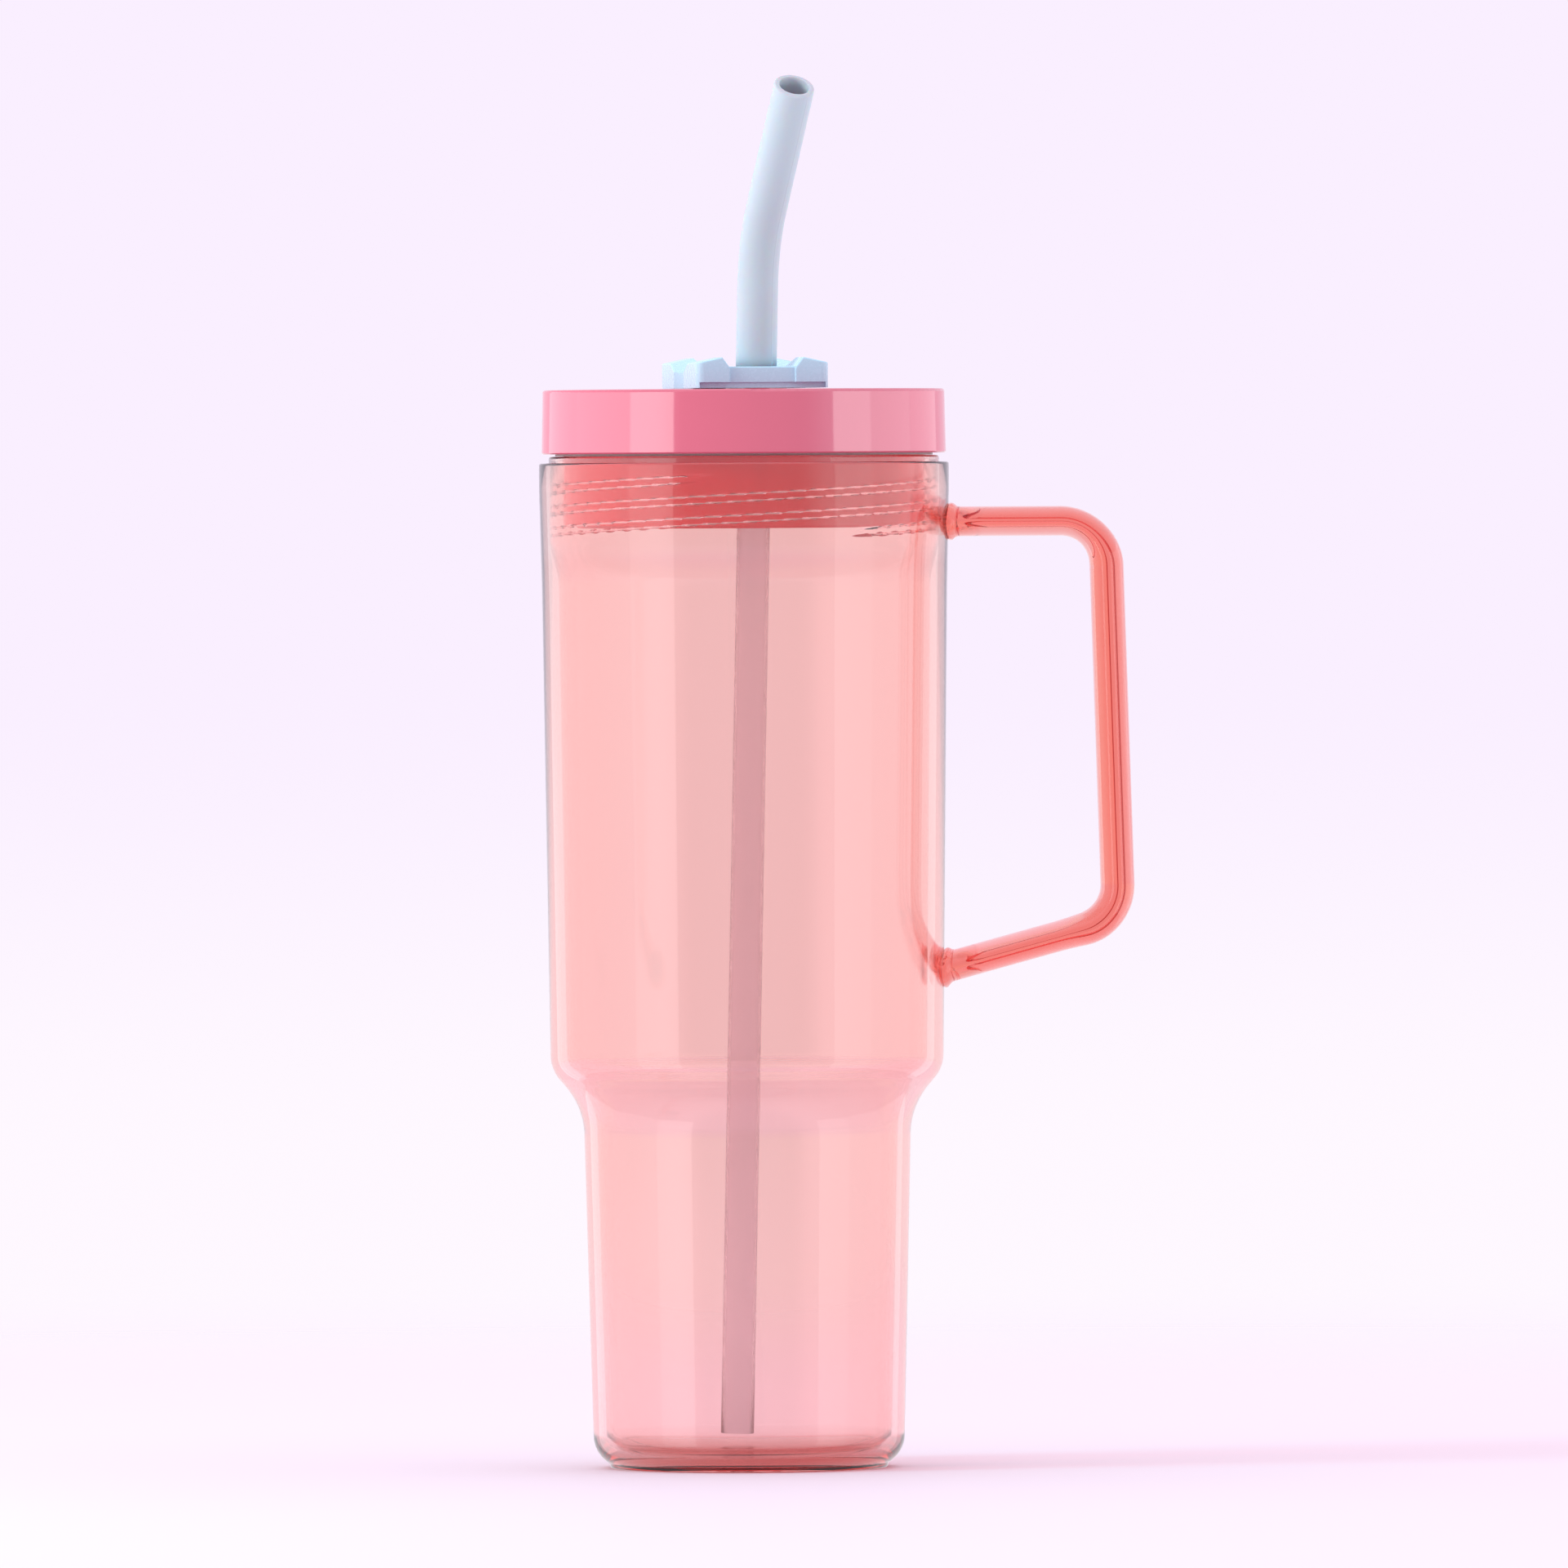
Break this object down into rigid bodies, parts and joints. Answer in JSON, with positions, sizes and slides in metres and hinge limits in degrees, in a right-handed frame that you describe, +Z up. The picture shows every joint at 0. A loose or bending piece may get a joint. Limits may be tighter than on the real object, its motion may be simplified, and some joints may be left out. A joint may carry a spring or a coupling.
{
  "type": "insulated tumbler with lid",
  "caption": "Tall double-walled clear tumbler with a narrow base, side handle, screw lid, swinging sip cover and a straw with a bent soft tip.",
  "frame": {"origin": "centre of the base, on the surface the tumbler stands on", "axes": "+Z up along the cup axis, +X towards the handle, -Y towards the viewer"},
  "size_m": [0.1453, 0.1004, 0.3403],
  "materials": {
    "clear_pink": "polished clear, tinted pink",
    "lid_pink": "glossy opaque pink",
    "clear_silicone": "matt translucent silicone",
    "pale_blue_plastic": "satin pale blue",
    "straw_pink": "translucent pink tube",
    "pale_blue_silicone": "soft matt pale blue silicone"
  },
  "bodies": {
    "cup": {"outer_shell": "clear_pink", "inner_liner": "clear_pink", "handle": "clear_pink"},
    "seal_ring": {"lid_seal": "clear_silicone"},
    "lid": {"lid_cap": "lid_pink", "lid_plug": "lid_pink", "straw_grommet": "clear_silicone"},
    "cover": {"drink_cover": "pale_blue_plastic", "sip_seal": "clear_silicone"},
    "straw": {"straw_tube": "straw_pink"},
    "tip": {"straw_tip": "pale_blue_silicone"}
  },
  "joints": [
    {"name": "lid_lift", "type": "slide", "parent": "cup", "child": "seal_ring", "axis": [0, 0, 1], "range_m": [0, 0.023]},
    {"name": "lid_turn", "type": "hinge", "parent": "seal_ring", "child": "lid", "pos_m": [0, 0, 0.247], "axis": [0, 0, 1], "range_deg": [0, 540]},
    {"name": "cover_swing", "type": "hinge", "parent": "lid", "child": "cover", "pos_m": [0.0031, -0.0135, 0.266], "axis": [0, 0, -1], "range_deg": [0, 60]},
    {"name": "straw_pull", "type": "slide", "parent": "lid", "child": "straw", "axis": [0.023, 0, 0.9997], "range_m": [0, 0.22]},
    {"name": "tip_turn", "type": "hinge", "parent": "straw", "child": "tip", "pos_m": [0.00331, -0.0135, 0.275], "axis": [0.023, 0, 0.9997], "continuous": true}
  ],
  "couplings": [
    {"joint": "lid_lift", "follows": "lid_turn", "m_per_rad": 0.0024351}
  ]
}
